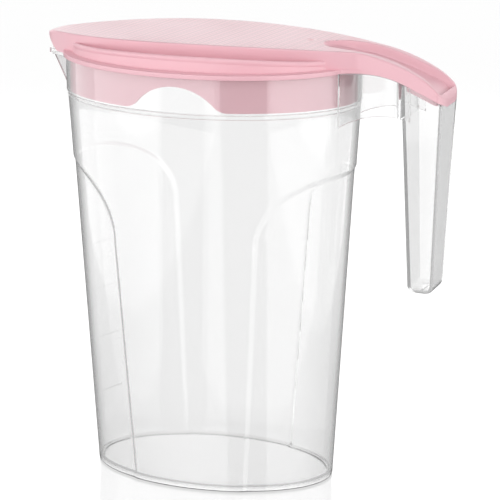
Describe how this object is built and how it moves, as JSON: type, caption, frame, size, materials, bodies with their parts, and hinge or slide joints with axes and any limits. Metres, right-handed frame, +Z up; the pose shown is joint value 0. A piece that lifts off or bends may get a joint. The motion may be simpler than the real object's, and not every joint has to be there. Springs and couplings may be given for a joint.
{
  "type": "pitcher with lid",
  "caption": "Oval, tapered clear plastic pitcher with pressed-in end panels, a V spout, a hollow hanging handle and a pink lift-off lid whose tail covers the handle.",
  "frame": {"origin": "centre of the flat oval bottom, on the surface that the pitcher stands on", "axes": "+Z up, +X towards the handle, -X towards the spout, +Y to the left of someone who looks along +X"},
  "size_m": [0.2198, 0.1168, 0.2351],
  "materials": {
    "clear_plastic": "clear, glossy, slightly hazy moulded plastic",
    "pink_plastic": "soft pink satin moulded plastic with a finely cross-hatched top"
  },
  "bodies": {
    "jug": {"jug": "clear_plastic", "handle": "clear_plastic"},
    "lid": {"lid": "pink_plastic"}
  },
  "joints": [
    {"name": "lid_lift", "type": "slide", "parent": "jug", "child": "lid", "axis": [0, 0, 1], "range_m": [0, 0.06]}
  ]
}
